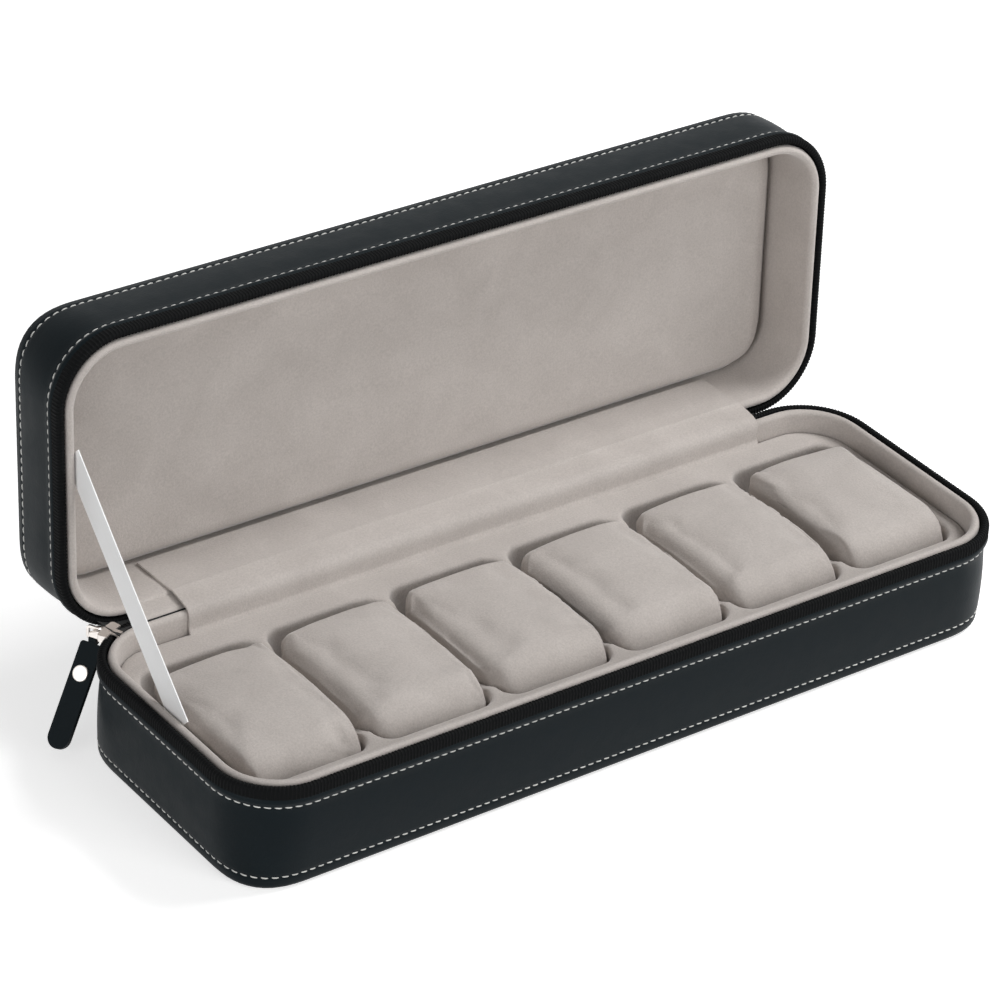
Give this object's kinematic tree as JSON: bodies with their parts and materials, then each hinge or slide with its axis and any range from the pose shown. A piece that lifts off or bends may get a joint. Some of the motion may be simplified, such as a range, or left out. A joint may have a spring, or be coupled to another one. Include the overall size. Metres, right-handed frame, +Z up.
{
  "type": "watch display case",
  "caption": "Long zip-up travel case for wristwatches, with a hinged lid held by a ribbon and lift-out velvet pillows in a pocketed tray.",
  "frame": {"origin": "middle of the underside of the base, on the surface it stands on", "axes": "+X along the case to the right as seen from the front, +Y to the rear where the lid is hinged, +Z up"},
  "size_m": [0.3321, 0.1507, 0.145],
  "materials": {
    "black_leatherette": "smooth polyurethane leatherette with a fine grain, satin, edge-stitched in white thread",
    "grey_velvet": "short-pile velvet, grey beige",
    "zip_tape": "woven polyester zip tape, black",
    "zip_coil": "black nylon coil teeth",
    "grey_board": "pressed fibre board, hidden inside the walls",
    "pillow_foam": "open-cell foam, hidden inside the pillows",
    "satin_ribbon": "white woven satin ribbon",
    "nickel_plate": "nickel-plated zinc, bright"
  },
  "bodies": {
    "base": {"base_side_leather": "black_leatherette", "base_bottom_leather": "black_leatherette", "base_zip_tape": "zip_tape", "base_zip_coil": "zip_coil", "base_wall_board": "grey_board", "base_bottom_board": "grey_board", "base_wall_lining": "grey_velvet", "base_floor_lining": "grey_velvet", "pocket_tray": "grey_velvet", "spine_leather": "black_leatherette", "hinge_velvet_flap": "grey_velvet", "stay_ribbon": "satin_ribbon"},
    "lid": {"lid_side_leather": "black_leatherette", "lid_top_leather": "black_leatherette", "lid_zip_tape": "zip_tape", "lid_zip_coil": "zip_coil", "lid_wall_board": "grey_board", "lid_top_board": "grey_board", "lid_wall_lining": "grey_velvet", "lid_panel_card": "grey_board", "lid_padded_panel": "grey_velvet"},
    "zip_slider": {"zip_slider_body": "nickel_plate", "pull_link": "nickel_plate"},
    "zip_pull": {"pull_tab": "black_leatherette", "tab_rivet": "nickel_plate"},
    "pillow_1": {"pillow_1_cover": "grey_velvet", "pillow_1_core": "pillow_foam"},
    "pillow_2": {"pillow_2_cover": "grey_velvet", "pillow_2_core": "pillow_foam"},
    "pillow_3": {"pillow_3_cover": "grey_velvet", "pillow_3_core": "pillow_foam"},
    "pillow_4": {"pillow_4_cover": "grey_velvet", "pillow_4_core": "pillow_foam"},
    "pillow_5": {"pillow_5_cover": "grey_velvet", "pillow_5_core": "pillow_foam"},
    "pillow_6": {"pillow_6_cover": "grey_velvet", "pillow_6_core": "pillow_foam"}
  },
  "joints": [
    {"name": "lid_hinge", "type": "hinge", "parent": "base", "child": "lid", "pos_m": [0, 0.0546, 0.0373], "axis": [-1, 0, 0], "range_deg": [-93.2, 0], "deforming": ["spine_leather", "hinge_velvet_flap", "stay_ribbon"]},
    {"name": "pillow_1_lift", "type": "slide", "parent": "base", "child": "pillow_1", "axis": [0, 0, 1], "range_m": [0, 0.07]},
    {"name": "pillow_2_lift", "type": "slide", "parent": "base", "child": "pillow_2", "axis": [0, 0, 1], "range_m": [0, 0.07]},
    {"name": "pillow_3_lift", "type": "slide", "parent": "base", "child": "pillow_3", "axis": [0, 0, 1], "range_m": [0, 0.07]},
    {"name": "pillow_4_lift", "type": "slide", "parent": "base", "child": "pillow_4", "axis": [0, 0, 1], "range_m": [0, 0.07]},
    {"name": "pillow_5_lift", "type": "slide", "parent": "base", "child": "pillow_5", "axis": [0, 0, 1], "range_m": [0, 0.07]},
    {"name": "pillow_6_lift", "type": "slide", "parent": "base", "child": "pillow_6", "axis": [0, 0, 1], "range_m": [0, 0.07]},
    {"name": "zip_travel", "type": "hinge", "parent": "base", "child": "zip_slider", "pos_m": [-0.1363, 0.0298, 0.0411], "axis": [0, 0, -1], "range_deg": [-53, 0]},
    {"name": "pull_swing", "type": "hinge", "parent": "zip_slider", "child": "zip_pull", "pos_m": [-0.14993, 0.05775, 0.0357], "axis": [-0.4384, 0.8988, 0], "range_deg": [-11, 50]}
  ]
}
